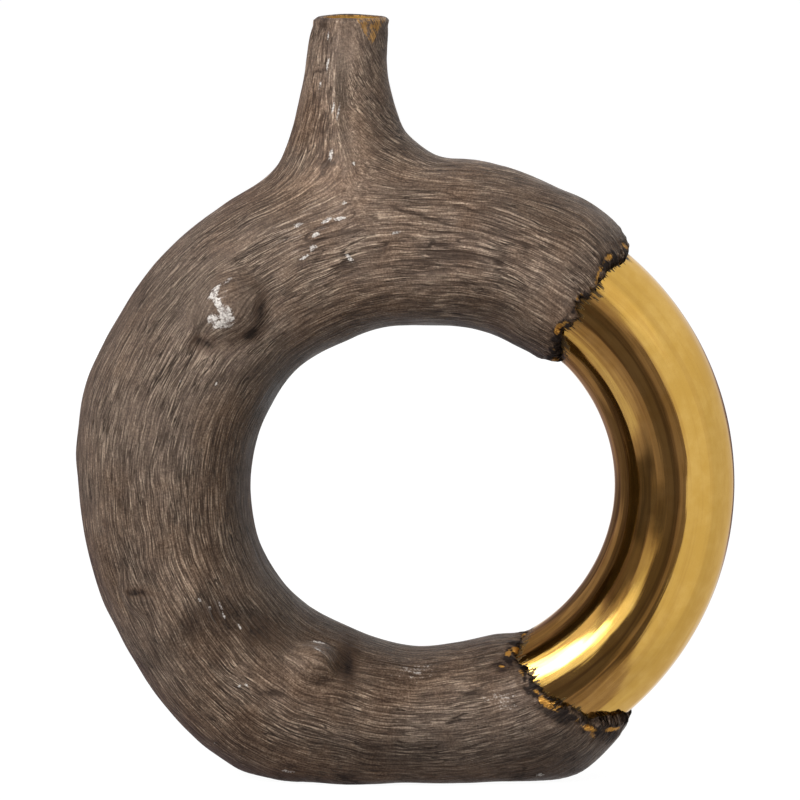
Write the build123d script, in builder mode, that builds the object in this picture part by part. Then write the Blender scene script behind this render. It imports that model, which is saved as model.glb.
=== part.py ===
from build123d import *
import math
import os

# A ring-shaped flower vase in stoneware. A hollow ring with a wood-grain surface stands on a flat
# foot and is closed on one side by a smooth gold arc, whose ends sit in sockets in the ring. A
# tapering neck rises from the top of the ring, lined with gold at its mouth, and three branch stubs
# are luted on the ring's front.
#
# Frame: +Z up, the front faces -Y, and the origin is on the table under the middle of the width.
# Lengths are in millimetres. Angles round the ring run from +X towards +Z about the ring's hole.

# Ring
HOLE_CENTRE_X = 10.0
RING_RADIUS = 105.0
LIMB_HALF_WIDTH = 36.0
LIMB_HALF_DEPTH = 39.0
RING_WALL = 5.0
FOOT_ANGLE = 270
FOOT_CUT = 11.6
FLOOR_THICKNESS = 6.0
FOOT_EDGE_ROUND = 1.5

# Each station of the ring: angle in degrees, then the middle of the limb as a share of RING_RADIUS,
# its half width as a share of LIMB_HALF_WIDTH and its half depth as a share of LIMB_HALF_DEPTH.
RING_STATION_SHARES = [
    (42, 0.938, 0.664, 0.82),
    (46, 0.944, 0.723, 0.84),
    (50, 0.941, 0.805, 0.86),
    (55, 0.956, 0.881, 0.88),
    (60, 0.961, 0.911, 0.89),
    (75, 0.962, 0.931, 0.92),
    (90, 0.964, 0.959, 0.94),
    (105, 0.991, 0.993, 0.96),
    (120, 1.012, 1.016, 0.98),
    (135, 1.034, 0.996, 1.00),
    (150, 1.041, 0.999, 1.00),
    (165, 1.044, 1.013, 1.00),
    (180, 1.026, 0.973, 1.00),
    (195, 1.014, 0.948, 0.99),
    (210, 0.994, 0.942, 0.98),
    (225, 0.980, 0.990, 0.97),
    (237, 0.967, 1.016, 0.96),
    (250, 0.934, 0.946, 0.95),
    (265, 0.917, 0.903, 0.94),
    (280, 0.911, 0.912, 0.93),
    (296, 0.929, 0.926, 0.90),
    (303, 0.934, 0.833, 0.88),
    (309, 0.932, 0.760, 0.86),
    (316, 0.918, 0.664, 0.83),
]

# Gold arc, a turned tube about its own centre, with both ends let into the ring. Its radius and the
# shift of its centre from the hole's are shares of RING_RADIUS, its half width is a share of
# LIMB_HALF_WIDTH and its half depth a share of LIMB_HALF_DEPTH.
GOLD_RADIUS_SHARE = 0.912
GOLD_CENTRE_SHARES = (0.027, 0.028)
GOLD_WIDTH_SHARE = 0.669
GOLD_DEPTH_SHARE = 0.769
GOLD_WALL = 4.0
GOLD_OVERRUN_ANGLE = 30
SOCKET_DEPTH = 8.0
SOCKET_COLLAR_ANGLE = 12
LUTING_GAP = 0.2

# The upper and lower seam between wood grain and gold: angle of the seam's middle round the gold
# arc, its lean from radial, its bow into the ring as a share of LIMB_HALF_WIDTH, and the way round
# the arc in which the ring lies.
SEAM_SHARES = [
    (49.3, 6.3, 0.03, 1),
    (-55.5, 15.1, 0.24, -1),
]

# Neck and mouth. The neck stands on the ring at NECK_ANGLE, and its collar rises over the ring there.
NECK_ANGLE = 103.2
COLLAR_RISE = 9.3
NECK_LENGTH = 48.0
NECK_RADIUS = 15.2
RIM_WALL = 3.7
LINING_THICKNESS = 0.9
LINING_LENGTH = 34.0
LINING_SETBACK = 1.0
RIM_ROUND = 1.2
SPIGOT_DEPTH = 6.0
SPIGOT_WALL = 2.2
PASSAGE_SHARE = 0.954
CREASE_ROUND = 10.0
CREASE_ROOM_SHARE = 1.2

# Each section of the neck's outer form, from the rim down: depth below the rim as a share of
# NECK_LENGTH, then its shift along X, half width and half depth as shares of NECK_RADIUS.
NECK_SECTION_SHARES = [
    (0.00, 0.000, 1.000, 1.000),
    (0.12, -0.045, 1.039, 1.010),
    (0.37, -0.138, 1.079, 1.030),
    (0.62, -0.152, 1.173, 1.080),
    (0.80, -0.138, 1.319, 1.170),
    (0.97, -0.080, 1.515, 1.310),
    (1.13, 0.110, 1.888, 1.540),
    (1.30, 0.070, 2.200, 1.760),
    (1.58, 0.030, 2.450, 1.850),
]

# Branch stubs on the ring's front: name, angle round the ring, place across the limb as a share of
# its half width, then base radius and height as shares of LIMB_HALF_WIDTH
STUB_EMBED = 4.0
STUB_SHARES = [
    ("upper_stub", 136.8, 0.10, 0.390, 0.180),
    ("lower_stub", 236.0, -0.58, 0.350, 0.125),
    ("side_stub", 198.0, 0.56, 0.240, 0.080),
]
STUB_TOP_SHARE = 0.45
STUB_SHOULDER_SHARE = 0.78

CUT_OVERRUN = 2.0


def radial(angle):
    """Unit vector from the hole's centre at an angle in degrees."""
    return Vector(math.cos(math.radians(angle)), 0, math.sin(math.radians(angle)))


def section_plane(centre, angle, radius):
    """Plane across a limb, with x away from the hole and y to the back."""
    return Plane(centre + radial(angle) * radius, radial(angle), radial(angle + 90))


def station(angle):
    """Middle radius, half width and half depth of the ring's limb at an angle, between stations."""
    for low, high in zip(RING_STATION_SHARES, RING_STATION_SHARES[1:]):
        if low[0] <= angle <= high[0]:
            part = (angle - low[0]) / (high[0] - low[0])
            shares = [a + (b - a) * part for a, b in zip(low[1:], high[1:])]
            return shares[0] * RING_RADIUS, shares[1] * LIMB_HALF_WIDTH, shares[2] * LIMB_HALF_DEPTH
    raise ValueError("no ring at that angle")


# The hole's centre stands over the foot's flat, and the collar over the ring's top
foot_middle, foot_half_width, foot_half_depth = station(FOOT_ANGLE)
hole_centre = Vector(HOLE_CENTRE_X, 0, foot_middle + foot_half_width - FOOT_CUT)
neck_middle, neck_half_width, neck_half_depth = station(NECK_ANGLE)
neck_root = hole_centre + radial(NECK_ANGLE) * (neck_middle + neck_half_width)
neck_x = neck_root.X
collar_height = neck_root.Z + COLLAR_RISE
rim_height = collar_height + NECK_LENGTH
mouth_radius = NECK_RADIUS - RIM_WALL
lining_radius = mouth_radius + LINING_THICKNESS
throat_radius = lining_radius + LUTING_GAP
passage_radius = PASSAGE_SHARE * NECK_RADIUS

gold_shift_x, gold_shift_z = GOLD_CENTRE_SHARES
gold_centre = hole_centre + Vector(gold_shift_x, 0, gold_shift_z) * RING_RADIUS
gold_radius = GOLD_RADIUS_SHARE * RING_RADIUS
gold_half_width = GOLD_WIDTH_SHARE * LIMB_HALF_WIDTH
gold_half_depth = GOLD_DEPTH_SHARE * LIMB_HALF_DEPTH
neck_root_half_depth = NECK_SECTION_SHARES[-1][-1] * NECK_RADIUS
crease_room = neck_half_depth - neck_root_half_depth
crease_round = min(CREASE_ROUND, CREASE_ROOM_SHARE * crease_room)
print("hole centre", hole_centre, "neck at", neck_x, "collar", collar_height, "rim", rim_height)


def seam_points(angle, lean, bow_share, wood_side, spread):
    """Inner end, middle and outer end of a seam in XZ, moved by spread towards the wood."""
    along = radial(angle + lean)
    to_wood = radial(angle + lean + 90) * wood_side
    middle = gold_centre + radial(angle) * gold_radius + to_wood * spread
    points = [
        middle - along * LIMB_HALF_WIDTH,
        middle + to_wood * bow_share * LIMB_HALF_WIDTH,
        middle + along * LIMB_HALF_WIDTH,
    ]
    return [(point.X, point.Z) for point in points]


def gold_wedge(spread):
    """Block between the two seams, widened by spread past each, and clear of the gold outside."""
    upper, lower = [seam_points(*row, spread) for row in SEAM_SHARES]
    beyond = HOLE_CENTRE_X + 2 * RING_RADIUS
    with BuildPart() as wedge:
        with BuildSketch(Plane.XZ):
            with BuildLine():
                Spline(*upper)
                Polyline(upper[-1], (beyond, upper[-1][1]), (beyond, lower[-1][1]), lower[-1])
                Spline(*reversed(lower))
                Line(lower[0], upper[0])
            make_face()
        extrude(amount=LIMB_HALF_DEPTH + CUT_OVERRUN, both=True)
    return wedge.part


# Outer form of the ring and neck, solid
with BuildPart() as wood_form:
    for angle, middle, width, depth in RING_STATION_SHARES:
        with BuildSketch(section_plane(hole_centre, angle, middle * RING_RADIUS)):
            Ellipse(width * LIMB_HALF_WIDTH, depth * LIMB_HALF_DEPTH)
    loft()
    for drop, shift, width, depth in NECK_SECTION_SHARES:
        with BuildSketch(Plane.XY.offset(rim_height - drop * NECK_LENGTH)):
            with Locations((neck_x + shift * NECK_RADIUS, 0)):
                Ellipse(width * NECK_RADIUS, depth * NECK_RADIUS)
    loft()
    creases = wood_form.edges().filter_by(
        lambda edge: edge.bounding_box().min.Z > hole_centre.Z + RING_RADIUS
        and edge.bounding_box().max.Z < collar_height
    )
    fillet(creases, crease_round)

# Hollow of the ring: the same stations less the wall, narrowed at the seams to the gold arc's bore
gold_bore_width = gold_half_width - GOLD_WALL
gold_bore_depth = gold_half_depth - GOLD_WALL
first_full_angle = SEAM_SHARES[0][0] + SOCKET_COLLAR_ANGLE
last_full_angle = SEAM_SHARES[1][0] + 360 - SOCKET_COLLAR_ANGLE
with BuildPart() as ring_hollow:
    for angle, middle, width, depth in RING_STATION_SHARES:
        inner_width = width * LIMB_HALF_WIDTH - RING_WALL
        inner_depth = depth * LIMB_HALF_DEPTH - RING_WALL
        if not first_full_angle < angle < last_full_angle:
            inner_width, inner_depth = gold_bore_width, gold_bore_depth
        with BuildSketch(section_plane(hole_centre, angle, middle * RING_RADIUS)):
            Ellipse(inner_width, inner_depth)
    loft()
    split(bisect_by=Plane.XY.offset(FLOOR_THICKNESS), keep=Keep.TOP)

# Round way down through the neck and the collar into the hollow, under the lined mouth
passage_bottom = hole_centre.Z + RING_RADIUS
lining_bottom = rim_height - LINING_SETBACK - LINING_LENGTH
with BuildPart() as passage:
    with BuildSketch(Plane.XZ):
        with BuildLine():
            Polyline(
                (neck_x, passage_bottom),
                (neck_x + passage_radius, passage_bottom),
                (neck_x + passage_radius, collar_height),
                (neck_x + throat_radius, lining_bottom),
                (neck_x + throat_radius, rim_height + CUT_OVERRUN),
                (neck_x, rim_height + CUT_OVERRUN),
                close=True,
            )
        make_face()
    revolve(axis=Axis((neck_x, 0, 0), (0, 0, 1)))


def gold_tube(gap=0, bore=None):
    """The gold arc's round with its ends past the seams, grown by gap, and hollow if it has a bore."""
    start = SEAM_SHARES[1][0] - GOLD_OVERRUN_ANGLE
    span = SEAM_SHARES[0][0] + GOLD_OVERRUN_ANGLE - start
    with BuildPart() as tube:
        with BuildSketch(section_plane(gold_centre, start, gold_radius)):
            Ellipse(gold_half_width + gap, gold_half_depth + gap)
            if bore:
                Ellipse(*bore, mode=Mode.SUBTRACT)
        revolve(axis=Axis(gold_centre, (0, -1, 0)), revolution_arc=span)
        add(gold_wedge(SOCKET_DEPTH + gap), mode=Mode.INTERSECT)
    return tube.part


# Gold arc: a smooth hollow tube whose ends run past the seams into the ring's sockets
with BuildPart() as gold_arc:
    add(gold_tube(bore=(gold_bore_width, gold_bore_depth)))
gold_arc.part.label = "gold_arc"

# Ring and collar, hollow, cut flat at the foot and open at both seams
spigot_radius = passage_radius + SPIGOT_WALL
with BuildPart() as ring:
    add(wood_form.part)
    split(bisect_by=Plane.XY, keep=Keep.TOP)
    fillet(ring.edges().group_by(Axis.Z)[0], FOOT_EDGE_ROUND)
    split(bisect_by=Plane.XY.offset(collar_height), keep=Keep.BOTTOM)
    add(ring_hollow.part, mode=Mode.SUBTRACT)
    add(passage.part, mode=Mode.SUBTRACT)
    add(gold_wedge(0), mode=Mode.SUBTRACT)
    add(gold_tube(LUTING_GAP), mode=Mode.SUBTRACT)
    with Locations((neck_x, 0, collar_height - SPIGOT_DEPTH)):
        Cylinder(
            spigot_radius + LUTING_GAP,
            SPIGOT_DEPTH + CUT_OVERRUN,
            align=(Align.CENTER, Align.CENTER, Align.MIN),
            mode=Mode.SUBTRACT,
        )

# The ring is pressed in two half moulds that meet in the XZ plane
with BuildPart() as front_shell:
    add(ring.part)
    split(bisect_by=Plane.XZ, keep=Keep.TOP)
front_shell.part.label = "front_shell"

with BuildPart() as back_shell:
    add(ring.part)
    split(bisect_by=Plane.XZ, keep=Keep.BOTTOM)
back_shell.part.label = "back_shell"

# Neck: the form above the collar, with a spigot that stands in the collar
with BuildPart() as neck:
    add(wood_form.part)
    split(bisect_by=Plane.XY.offset(collar_height), keep=Keep.TOP)
    fillet(neck.edges().group_by(Axis.Z)[-1], RIM_ROUND)
    with Locations((neck_x, 0, collar_height - SPIGOT_DEPTH)):
        Cylinder(
            spigot_radius,
            SPIGOT_DEPTH + SPIGOT_WALL,
            align=(Align.CENTER, Align.CENTER, Align.MIN),
        )
    add(passage.part, mode=Mode.SUBTRACT)
neck.part.label = "neck"

# Gold lining of the mouth, a thin sleeve a little below the rim
with BuildPart() as mouth_lining:
    with BuildSketch(Plane.XY.offset(lining_bottom)):
        with Locations((neck_x, 0)):
            Circle(lining_radius)
            Circle(mouth_radius, mode=Mode.SUBTRACT)
    extrude(amount=LINING_LENGTH)
mouth_lining.part.label = "mouth_lining"


def branch_stub(name, angle, across_share, radius_share, height_share):
    """A rounded stub on the ring's front, square to its surface and shaped to it underneath."""
    middle, half_width, half_depth = station(angle)
    across = math.asin(across_share)
    seat = hole_centre + radial(angle) * (middle + half_width * across_share)
    seat += Vector(0, -half_depth * math.cos(across), 0)
    normal = radial(angle) * (math.sin(across) / half_width)
    normal += Vector(0, -math.cos(across) / half_depth, 0)
    face = Plane(seat, radial(angle + 90), normal)
    radius = radius_share * LIMB_HALF_WIDTH
    height = height_share * LIMB_HALF_WIDTH
    with BuildPart() as stub:
        with BuildSketch(face.offset(-STUB_EMBED)):
            Circle(radius)
        with BuildSketch(face.offset(height * STUB_TOP_SHARE)):
            Circle(radius * STUB_SHOULDER_SHARE)
        with BuildSketch(face.offset(height)):
            Circle(radius * STUB_TOP_SHARE)
        loft()
        add(wood_form.part, mode=Mode.SUBTRACT)
    stub.part.label = name
    return stub


stubs = [branch_stub(*row) for row in STUB_SHARES]

os.makedirs("parts", exist_ok=True)
for piece in (front_shell, back_shell, gold_arc, neck, mouth_lining, *stubs):
    export_step(piece.part, f"parts/{piece.part.label}.step")
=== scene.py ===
# %% [markdown]
# # A ring vase in grained stoneware and gold
#
# The real vase is a hollow clay ring that stands on a flat foot. Its skin is combed and painted
# like weathered wood, a slim neck grows out of the top, and one side of the ring is a smooth arc
# under bright gold. The scene loads the exact CAD parts as a fixed frame, then lays a sculpted
# skin over them, because the grain, the knots and the ragged seams are finer than CAD solids
# need to be. Lengths are millimetres until a mesh is made from them. The camera, the floor and the
# lamps, which come last, are placed in metres.

# %% Load the CAD frame
import math

import bpy
import numpy as np
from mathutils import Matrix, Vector


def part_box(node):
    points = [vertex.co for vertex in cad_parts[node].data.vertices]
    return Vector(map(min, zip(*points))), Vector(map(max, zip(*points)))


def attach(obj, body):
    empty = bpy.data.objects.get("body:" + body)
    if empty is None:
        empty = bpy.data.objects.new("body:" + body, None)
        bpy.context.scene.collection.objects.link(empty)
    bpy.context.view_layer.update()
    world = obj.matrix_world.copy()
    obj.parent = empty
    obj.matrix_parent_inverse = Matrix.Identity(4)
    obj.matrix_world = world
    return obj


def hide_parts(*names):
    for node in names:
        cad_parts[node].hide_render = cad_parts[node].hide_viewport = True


MM = 0.001
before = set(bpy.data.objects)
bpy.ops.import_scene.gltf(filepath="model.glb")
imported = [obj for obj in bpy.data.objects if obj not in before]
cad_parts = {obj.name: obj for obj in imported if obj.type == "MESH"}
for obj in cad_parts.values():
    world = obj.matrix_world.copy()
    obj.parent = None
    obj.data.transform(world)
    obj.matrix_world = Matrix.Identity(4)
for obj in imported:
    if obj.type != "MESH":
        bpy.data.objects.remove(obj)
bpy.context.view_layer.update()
print("CAD nodes:", sorted(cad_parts))

# %% [markdown]
# ## The form of the ring
#
# The ring is not a plain torus: its limb swells and thins as it goes round. It could be modelled
# with a curve and a bevel, but a table of cross-sections is easier to set against a picture. Each
# row gives an angle round the hole, the middle of the limb, and its half width and half depth.
# A cubic through the rows makes the limb flow from one section to the next.

# %% Sections of the ring and the neck
HOLE_X, HOLE_Z = 10.0, 117.09
RING_RADIUS, LIMB_HALF_WIDTH, LIMB_HALF_DEPTH = 105.0, 36.0, 39.0
LIMB_GIRTH = 118.0
RING_SECTIONS = np.array([
    (42, 0.938, 0.664, 0.82), (46, 0.944, 0.723, 0.84), (50, 0.941, 0.797, 0.86),
    (55, 0.957, 0.866, 0.88), (60, 0.964, 0.898, 0.89), (67, 0.966, 0.892, 0.91),
    (75, 0.970, 0.914, 0.92), (82, 0.972, 0.939, 0.93), (90, 0.968, 0.946, 0.94),
    (105, 0.994, 0.980, 0.96), (114, 1.000, 0.985, 0.97), (120, 1.010, 1.006, 0.98),
    (135, 1.036, 0.993, 1.00), (150, 1.043, 0.991, 1.00), (165, 1.048, 0.999, 1.00),
    (180, 1.031, 0.958, 1.00), (195, 1.018, 0.940, 0.99), (210, 1.001, 0.944, 0.98),
    (225, 0.989, 0.985, 0.97), (237, 0.972, 1.014, 0.96), (250, 0.936, 0.934, 0.95),
    (265, 0.921, 0.891, 0.94), (280, 0.912, 0.901, 0.93), (296, 0.933, 0.919, 0.90),
    (303, 0.937, 0.830, 0.88), (309, 0.934, 0.760, 0.86), (316, 0.918, 0.664, 0.83),
]) * [1, RING_RADIUS, LIMB_HALF_WIDTH, LIMB_HALF_DEPTH]

lining_low, lining_high = [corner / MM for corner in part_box("mouth_lining")]
NECK_X = (lining_low.x + lining_high.x) / 2
RIM_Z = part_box("neck")[1].z / MM
NECK_LENGTH, NECK_RADIUS = 48.0, 15.2
NECK_SECTIONS = np.array([
    (0.00, 0.000, 1.000, 1.000), (0.12, -0.045, 1.039, 1.010), (0.37, -0.138, 1.079, 1.030),
    (0.62, -0.152, 1.173, 1.080), (0.80, -0.138, 1.319, 1.170), (0.97, -0.080, 1.515, 1.310),
    (1.13, 0.080, 1.845, 1.540), (1.30, 0.110, 2.095, 1.760), (1.58, 0.000, 2.470, 1.850),
]) * [NECK_LENGTH, NECK_RADIUS, NECK_RADIUS, NECK_RADIUS]
print("neck axis at x", round(NECK_X, 2), "and rim at z", round(RIM_Z, 2))


# %% Helpers for tables and soft steps
def between_rows(position, table):
    """Values of a table at a position in its first column: a cubic between two rows, which meets
    each row with the slope of the line that joins the row's neighbours."""
    knots, values = table[:, 0], table[:, 1:]
    slopes = np.gradient(values, knots, axis=0)
    position = np.clip(position, knots[0], knots[-1])
    row = np.clip(np.searchsorted(knots, position) - 1, 0, len(knots) - 2)
    span = (knots[row + 1] - knots[row])[..., None]
    t = (position - knots[row])[..., None] / span
    held = (1 + 2 * t) * (1 - t) ** 2 * values[row] + t * t * (3 - 2 * t) * values[row + 1]
    bent = t * (1 - t) ** 2 * span * slopes[row] + t * t * (t - 1) * span * slopes[row + 1]
    return np.moveaxis(held + bent, -1, 0)


def soft_step(value, low, high):
    """0 up to low, 1 from high on, and 3t^2 - 2t^3 between them."""
    t = np.clip((value - low) / (high - low), 0, 1)
    return t * t * (3 - 2 * t)


def soft_least(a, b, reach):
    """The smaller of a and b, lowered by up to a quarter of reach where they are nearly equal."""
    near = np.maximum(reach - np.abs(a - b), 0) / reach
    return np.minimum(a, b) - near * near * reach / 4


# %% [markdown]
# ## One skin over ring and neck
#
# On the real vase the neck flows out of the ring with no joint. Joining two meshes leaves an edge
# there, so the form is written as a field instead: a function that is negative inside the clay,
# zero on its surface and positive outside. Two fields can be melted together with a soft minimum,
# and the flat foot is a soft cut. Points then slide onto the place where the field is zero.

# %% The clay as a field
CREASE_REACH = 9.0
FOOT_REACH = 4.0


def ring_angle(points):
    """Angle round the hole in degrees, from +X towards +Z, and distance from the hole's middle."""
    across, up = points[..., 0] - HOLE_X, points[..., 2] - HOLE_Z
    return np.degrees(np.arctan2(up, across)) % 360, np.hypot(across, up)


def ring_field(points):
    """How far points lie outside the limb, about: (q - 1) times the section's smaller half size,
    where q is the point's distance from the limb's middle with each axis over its half size."""
    angle, radius = ring_angle(points)
    middle, width, depth = between_rows(angle, RING_SECTIONS)
    share = np.hypot((radius - middle) / width, points[..., 1] / depth)
    return (share - 1) * np.minimum(width, depth)


def neck_field(points):
    """The same for the neck, whose sections lie level. Below the last one the field fades out."""
    drop = RIM_Z - points[..., 2]
    shift, width, depth = between_rows(drop, NECK_SECTIONS)
    share = np.hypot((points[..., 0] - NECK_X - shift) / width, points[..., 1] / depth)
    return (share - 1) * np.minimum(width, depth) + np.maximum(drop - NECK_SECTIONS[-1, 0], 0)


def clay_field(points):
    """Ring and neck melted together, cut flat at the table with a rounded edge."""
    clay = soft_least(ring_field(points), neck_field(points), CREASE_REACH)
    return -soft_least(-clay, points[..., 2], FOOT_REACH)


def reach_surface(field, origin, direction, longest=60.0):
    """Distance along each ray at which a field turns from negative to positive, by halving."""
    low = np.full(origin.shape[:-1], 6.0)
    high = np.full(origin.shape[:-1], longest)
    for _ in range(17):
        middle = (low + high) / 2
        inside = field(origin + direction * middle[..., None]) < 0
        low, high = np.where(inside, middle, low), np.where(inside, high, middle)
    return (low + high) / 2


def slide_to_surface(field, points, steps=9, probe=0.05):
    """Moves points along the field's steepest slope until the field is zero there."""
    for _ in range(steps):
        value = field(points)
        slope = np.stack([
            field(points + shift) - field(points - shift) for shift in np.eye(3) * probe
        ], axis=-1) / (2 * probe)
        points = points - slope * (value / (slope ** 2).sum(-1))[..., None]
    return points


# %% [markdown]
# ## The gold arc's form
#
# The gold side is a turned tube. Its inner and outer edges are two circles whose middles lie a
# little apart, so the tube is slightly fuller at the bottom. It is needed before the skin is made,
# because the skin's ragged lip has to sink into it.

# %% Gold tube as a field
GOLD_X, GOLD_Z = 12.8, 120.0
GOLD_INNER = (15.6, 119.7, 68.9)
GOLD_OUTER = (10.6, 120.0, 122.6)
GOLD_HALF_DEPTH = 30.0


def circle_reach(angle, circle):
    """Distance from the gold arc's middle, at an angle, to a circle given by its middle and radius:
    the longer root of the line and circle equation."""
    x, z, radius = circle
    along, up = np.cos(np.radians(angle)), np.sin(np.radians(angle))
    offset_x, offset_z = x - GOLD_X, z - GOLD_Z
    towards = along * offset_x + up * offset_z
    return towards + np.sqrt(towards ** 2 + radius ** 2 - offset_x ** 2 - offset_z ** 2)


def gold_section(angle):
    """Middle radius and half width of the gold tube at an angle round its own middle."""
    inner, outer = circle_reach(angle, GOLD_INNER), circle_reach(angle, GOLD_OUTER)
    return (inner + outer) / 2, (outer - inner) / 2


def gold_field(points):
    """The ring's formula with the gold tube's sections."""
    across, up = points[..., 0] - GOLD_X, points[..., 2] - GOLD_Z
    middle, width = gold_section(np.degrees(np.arctan2(up, across)))
    share = np.hypot((np.hypot(across, up) - middle) / width, points[..., 1] / GOLD_HALF_DEPTH)
    return (share - 1) * width


# %% [markdown]
# ## Noise for sculpting
#
# Clay that was combed by hand never repeats. Blender's Displace modifier has noise, but not one
# that can be stretched along a curving grain, so a small value noise is written out here. It works
# in any number of dimensions: the fourth one is the place across the grain.

# %% Value noise
HASH_PRIMES = np.array([73856093, 19349663, 83492791, 49979687], dtype=np.uint32)


def value_noise(coordinates, seed):
    """Noise from -1 to 1: a random height at every whole-number grid point, made by mixing the bits
    of its coordinates, and a soft step between neighbouring heights along each axis."""
    cell = np.floor(coordinates)
    part = coordinates - cell
    part = part * part * (3 - 2 * part)
    cell = cell.astype(np.int64).astype(np.uint32)
    dimensions = coordinates.shape[-1]
    total = np.zeros(coordinates.shape[:-1])
    for corner in range(2 ** dimensions):
        mixed = np.full(coordinates.shape[:-1], seed * 2654435761 % 2 ** 32, dtype=np.uint32)
        weight = np.ones(coordinates.shape[:-1])
        for axis in range(dimensions):
            step = corner >> axis & 1
            mixed ^= (cell[..., axis] + np.uint32(step)) * HASH_PRIMES[axis]
            mixed ^= mixed >> np.uint32(15)
            mixed *= np.uint32(2246822519)
            weight = weight * (part[..., axis] if step else 1 - part[..., axis])
        mixed ^= mixed >> np.uint32(13)
        total += weight * (mixed / 2 ** 31 - 1)
    return total


# %% [markdown]
# ## Where the grained skin ends
#
# At both seams the skin ends in a torn lip over the gold. The two edges are measured as an angle
# for each place across the limb, from the inner side at -1 to the outer side at 1, and noise with
# a few sizes of tooth makes them ragged.

# %% Ragged seam edges
UPPER_SEAM = np.array([
    (-1.0, 46.6), (-0.86, 48.0), (-0.68, 50.6), (-0.45, 53.2), (-0.25, 52.2), (0.0, 53.8),
    (0.28, 52.4), (0.58, 53.4), (0.82, 52.8), (1.0, 51.4),
])
LOWER_SEAM = np.array([
    (-1.0, 304.0), (-0.93, 300.6), (-0.82, 297.0), (-0.60, 298.0), (-0.36, 297.8), (-0.13, 299.6),
    (0.06, 301.4), (0.20, 303.0), (0.50, 304.4), (0.84, 308.8), (1.0, 311.0),
])
UPPER_MEAN, LOWER_MEAN = 50.0, 304.0
COLUMNS = 284
turn = np.arange(2 * COLUMNS) / COLUMNS * 180
width_share = np.cos(np.radians(turn))


def tooth_noise(seed):
    """Raggedness in degrees for each column: round the limb on a circle, so that it closes."""
    circle = np.stack([np.cos(np.radians(turn)), np.sin(np.radians(turn))], axis=-1)
    waves = [(3.0, 0.70), (8.0, 0.65), (20.0, 0.45)]
    soft = sum(size * value_noise(circle * wave, seed + i) for i, (wave, size) in enumerate(waves))
    spikes = np.maximum(1 - 2.5 * abs(value_noise(circle * 26.0, seed + 4)), 0)
    return soft + 1.1 * spikes * (1 + value_noise(circle * 5.0, seed + 5))


upper_edge = between_rows(width_share, UPPER_SEAM)[0]
lower_edge = between_rows(width_share, LOWER_SEAM)[0]
upper_teeth, lower_teeth = tooth_noise(3), tooth_noise(11)
print("upper edge from", upper_edge.min().round(1), "to", upper_edge.max().round(1), "degrees")

# %% [markdown]
# ## The skin's grid
#
# The ring is a grid: rows go round the hole and columns go round the limb. Rows are closer at the
# seams and under the neck, where more happens. A window is left out of the grid under the neck,
# and the neck's own grid starts on the window's edge points, so the two share them and no gap or
# edge can show. Turning the columns from the window into a round neck is done by drawing straight
# lines to the neck and sliding their points onto the clay.

# %% Rows and columns of the ring
WINDOW_FROM, WINDOW_TO, WINDOW_COLUMNS = 82.0, 121.0, 98
EDGE_REACH, TEETH_REACH = 24, 6
row_spans = [(50, 57, 17), (57, 82, 26), (82, 121, 92), (121, 297, 186), (297, 304, 17)]
row_angles = np.concatenate(
    [np.linspace(low, high, count, endpoint=False) for low, high, count in row_spans]
    + [[LOWER_MEAN]]
)
window_first = int(np.argmin(abs(row_angles - WINDOW_FROM)))
window_last = int(np.argmin(abs(row_angles - WINDOW_TO)))


def fade(low_side, reach):
    """1 at a seam and 0 a reach away from it, for each row."""
    away = row_angles - UPPER_MEAN if low_side else LOWER_MEAN - row_angles
    return (1 - soft_step(away, 0, reach))[:, None]


grid_angle = (
    row_angles[:, None]
    + (upper_edge - UPPER_MEAN) * fade(True, EDGE_REACH) + upper_teeth * fade(True, TEETH_REACH)
    + (lower_edge - LOWER_MEAN) * fade(False, EDGE_REACH) + lower_teeth * fade(False, TEETH_REACH)
)


def limb_rays(angle):
    """Middle of the limb and the direction towards each column's place on its section, where angle
    has one row for each section and one column for each turn round the limb."""
    middle, width, depth = between_rows(angle, RING_SECTIONS)
    outward = np.stack([np.cos(np.radians(angle)), 0 * angle, np.sin(np.radians(angle))], axis=-1)
    start = outward * middle[..., None] + [HOLE_X, 0, HOLE_Z]
    out_part = width * np.cos(np.radians(turn))
    front_part = depth * np.sin(np.radians(turn))
    heading = outward * out_part[..., None] - np.array([0, 1, 0]) * front_part[..., None]
    return start, heading / np.linalg.norm(heading, axis=-1, keepdims=True)


ring_start, ring_heading = limb_rays(grid_angle)
ring_reach = reach_surface(clay_field, ring_start, ring_heading)
ring_points = ring_start + ring_heading * ring_reach[..., None]
print("ring grid", ring_points.shape[:2], "window rows", window_first, window_last)

# %% Lips that roll into the gold, and the hidden caps behind them
LIP_ROWS = 6
LIP_LENGTH = 2.2
SINK = 1.6
CAP_SHARES = np.array([0.75, 0.4, 0.06])
CAP_ROWS = len(CAP_SHARES)


def lip(edge_row, way):
    """Rows past an edge: each goes on by sin(b) of the lip's length and sinks by 1 - cos(b) of the
    height over the gold, for b up to a right angle, so the lip is a quarter round. The cap's rows
    then close in on the middle of the limb, by shares of the last reach."""
    bend = np.radians(np.linspace(0, 90, LIP_ROWS + 1)[1:])[:, None]
    onward = np.degrees(LIP_LENGTH * np.sin(bend) / RING_RADIUS) * way
    start, heading = limb_rays(grid_angle[edge_row] + onward)
    full = ring_reach[edge_row]
    gold = reach_surface(gold_field, start[-1:], heading[-1:])[0]
    height = np.maximum(full - gold, 0) + SINK
    reach = full - height * (1 - np.cos(bend))
    cap = reach[-1] * CAP_SHARES[:, None]
    cap_angle = np.repeat(grid_angle[edge_row] + onward[-1:], CAP_ROWS, axis=0)
    cap_start, cap_heading = limb_rays(cap_angle)
    points = start + heading * reach[..., None]
    return np.concatenate([points, cap_start + cap_heading * cap[..., None]])


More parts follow.
